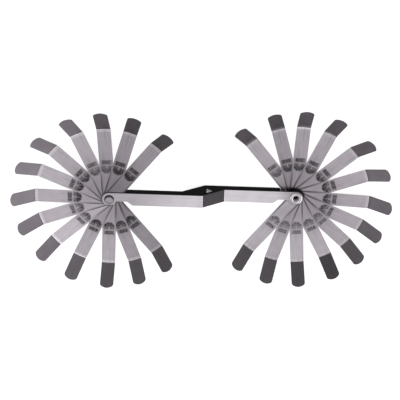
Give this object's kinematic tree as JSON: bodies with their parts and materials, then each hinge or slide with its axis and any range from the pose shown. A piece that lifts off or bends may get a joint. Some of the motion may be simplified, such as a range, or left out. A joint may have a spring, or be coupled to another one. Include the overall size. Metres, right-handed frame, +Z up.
{
  "type": "offset feeler gauge",
  "caption": "Offset feeler gauge: stepped pressed-steel channel case with bent-tip steel blades fanned on a hollow rivet at each end.",
  "frame": {"origin": "centre of the underside of the bounding box, with the blades fanned out as at rest", "axes": "+X along the case from the upper channel to the lower one, +Y towards the closed web of the case, +Z up, the side that every blade tip bends to"},
  "size_m": [0.3479, 0.1758, 0.0362],
  "materials": {
    "case": "satin pressed sheet",
    "rivets": "bright nickel",
    "blades": "ground spring steel"
  },
  "bodies": {
    "case_with_rivets": {"case": "case", "rivet_left": "rivets", "rivet_right": "rivets"},
    "blade_left_01": {"blade_left_01": "blades"},
    "blade_left_02": {"blade_left_02": "blades"},
    "blade_left_03": {"blade_left_03": "blades"},
    "blade_left_04": {"blade_left_04": "blades"},
    "blade_left_05": {"blade_left_05": "blades"},
    "blade_left_06": {"blade_left_06": "blades"},
    "blade_left_07": {"blade_left_07": "blades"},
    "blade_left_08": {"blade_left_08": "blades"},
    "blade_left_09": {"blade_left_09": "blades"},
    "blade_left_10": {"blade_left_10": "blades"},
    "blade_left_11": {"blade_left_11": "blades"},
    "blade_left_12": {"blade_left_12": "blades"},
    "blade_left_13": {"blade_left_13": "blades"},
    "blade_right_01": {"blade_right_01": "blades"},
    "blade_right_02": {"blade_right_02": "blades"},
    "blade_right_03": {"blade_right_03": "blades"},
    "blade_right_04": {"blade_right_04": "blades"},
    "blade_right_05": {"blade_right_05": "blades"},
    "blade_right_06": {"blade_right_06": "blades"},
    "blade_right_07": {"blade_right_07": "blades"},
    "blade_right_08": {"blade_right_08": "blades"},
    "blade_right_09": {"blade_right_09": "blades"},
    "blade_right_10": {"blade_right_10": "blades"},
    "blade_right_11": {"blade_right_11": "blades"},
    "blade_right_12": {"blade_right_12": "blades"},
    "blade_right_13": {"blade_right_13": "blades"}
  },
  "joints": [
    {"name": "blade_left_01_swing", "type": "hinge", "parent": "case_with_rivets", "child": "blade_left_01", "pos_m": [-0.08596, 0.00001, 0.02114], "axis": [0, 0, 1], "range_deg": [-0.7, 299.2]},
    {"name": "blade_left_02_swing", "type": "hinge", "parent": "case_with_rivets", "child": "blade_left_02", "pos_m": [-0.08596, 0.00001, 0.02102], "axis": [0, 0, 1], "range_deg": [-23, 276.9]},
    {"name": "blade_left_03_swing", "type": "hinge", "parent": "case_with_rivets", "child": "blade_left_03", "pos_m": [-0.08596, 0.00001, 0.02086], "axis": [0, 0, 1], "range_deg": [-43.2, 256.7]},
    {"name": "blade_left_04_swing", "type": "hinge", "parent": "case_with_rivets", "child": "blade_left_04", "pos_m": [-0.08596, 0.00001, 0.02064], "axis": [0, 0, 1], "range_deg": [-64.3, 235.6]},
    {"name": "blade_left_05_swing", "type": "hinge", "parent": "case_with_rivets", "child": "blade_left_05", "pos_m": [-0.08596, 0.00001, 0.02038], "axis": [0, 0, 1], "range_deg": [-87, 212.9]},
    {"name": "blade_left_06_swing", "type": "hinge", "parent": "case_with_rivets", "child": "blade_left_06", "pos_m": [-0.08596, 0.00001, 0.02007], "axis": [0, 0, 1], "range_deg": [-107.2, 192.7]},
    {"name": "blade_left_07_swing", "type": "hinge", "parent": "case_with_rivets", "child": "blade_left_07", "pos_m": [-0.08596, 0.00001, 0.0197], "axis": [0, 0, 1], "range_deg": [-129.2, 170.7]},
    {"name": "blade_left_08_swing", "type": "hinge", "parent": "case_with_rivets", "child": "blade_left_08", "pos_m": [-0.08596, 0.00001, 0.01929], "axis": [0, 0, 1], "range_deg": [-149.9, 150]},
    {"name": "blade_left_09_swing", "type": "hinge", "parent": "case_with_rivets", "child": "blade_left_09", "pos_m": [-0.08596, 0.00001, 0.01882], "axis": [0, 0, 1], "range_deg": [-171.4, 128.5]},
    {"name": "blade_left_10_swing", "type": "hinge", "parent": "case_with_rivets", "child": "blade_left_10", "pos_m": [-0.08596, 0.00001, 0.0183], "axis": [0, 0, 1], "range_deg": [-194.4, 105.5]},
    {"name": "blade_left_11_swing", "type": "hinge", "parent": "case_with_rivets", "child": "blade_left_11", "pos_m": [-0.08596, 0.00001, 0.01774], "axis": [0, 0, 1], "range_deg": [-217.9, 82]},
    {"name": "blade_left_12_swing", "type": "hinge", "parent": "case_with_rivets", "child": "blade_left_12", "pos_m": [-0.08596, 0.00001, 0.01712], "axis": [0, 0, 1], "range_deg": [-239.2, 60.7]},
    {"name": "blade_left_13_swing", "type": "hinge", "parent": "case_with_rivets", "child": "blade_left_13", "pos_m": [-0.08596, 0.00001, 0.01645], "axis": [0, 0, 1], "range_deg": [-259.3, 40.6]},
    {"name": "blade_right_01_swing", "type": "hinge", "parent": "case_with_rivets", "child": "blade_right_01", "pos_m": [0.08604, 0.00001, 0.0012], "axis": [0, 0, 1], "range_deg": [-309.6, 0.5]},
    {"name": "blade_right_02_swing", "type": "hinge", "parent": "case_with_rivets", "child": "blade_right_02", "pos_m": [0.08604, 0.00001, 0.00132], "axis": [0, 0, 1], "range_deg": [-287, 23.1]},
    {"name": "blade_right_03_swing", "type": "hinge", "parent": "case_with_rivets", "child": "blade_right_03", "pos_m": [0.08604, 0.00001, 0.00146], "axis": [0, 0, 1], "range_deg": [-267.5, 42.6]},
    {"name": "blade_right_04_swing", "type": "hinge", "parent": "case_with_rivets", "child": "blade_right_04", "pos_m": [0.08604, 0.00001, 0.00165], "axis": [0, 0, 1], "range_deg": [-246.4, 63.7]},
    {"name": "blade_right_05_swing", "type": "hinge", "parent": "case_with_rivets", "child": "blade_right_05", "pos_m": [0.08604, 0.00001, 0.00188], "axis": [0, 0, 1], "range_deg": [-222.2, 87.9]},
    {"name": "blade_right_06_swing", "type": "hinge", "parent": "case_with_rivets", "child": "blade_right_06", "pos_m": [0.08604, 0.00001, 0.00217], "axis": [0, 0, 1], "range_deg": [-200, 110.1]},
    {"name": "blade_right_07_swing", "type": "hinge", "parent": "case_with_rivets", "child": "blade_right_07", "pos_m": [0.08604, 0.00001, 0.00251], "axis": [0, 0, 1], "range_deg": [-177.3, 132.8]},
    {"name": "blade_right_08_swing", "type": "hinge", "parent": "case_with_rivets", "child": "blade_right_08", "pos_m": [0.08604, 0.00001, 0.0029], "axis": [0, 0, 1], "range_deg": [-156.6, 153.5]},
    {"name": "blade_right_09_swing", "type": "hinge", "parent": "case_with_rivets", "child": "blade_right_09", "pos_m": [0.08604, 0.00001, 0.00334], "axis": [0, 0, 1], "range_deg": [-137.5, 172.6]},
    {"name": "blade_right_10_swing", "type": "hinge", "parent": "case_with_rivets", "child": "blade_right_10", "pos_m": [0.08604, 0.00001, 0.00383], "axis": [0, 0, 1], "range_deg": [-118, 192.1]},
    {"name": "blade_right_11_swing", "type": "hinge", "parent": "case_with_rivets", "child": "blade_right_11", "pos_m": [0.08604, 0.00001, 0.00438], "axis": [0, 0, 1], "range_deg": [-95, 215.1]},
    {"name": "blade_right_12_swing", "type": "hinge", "parent": "case_with_rivets", "child": "blade_right_12", "pos_m": [0.08604, 0.00001, 0.00497], "axis": [0, 0, 1], "range_deg": [-73.6, 236.5]},
    {"name": "blade_right_13_swing", "type": "hinge", "parent": "case_with_rivets", "child": "blade_right_13", "pos_m": [0.08604, 0.00001, 0.00561], "axis": [0, 0, 1], "range_deg": [-52.4, 257.7]}
  ]
}
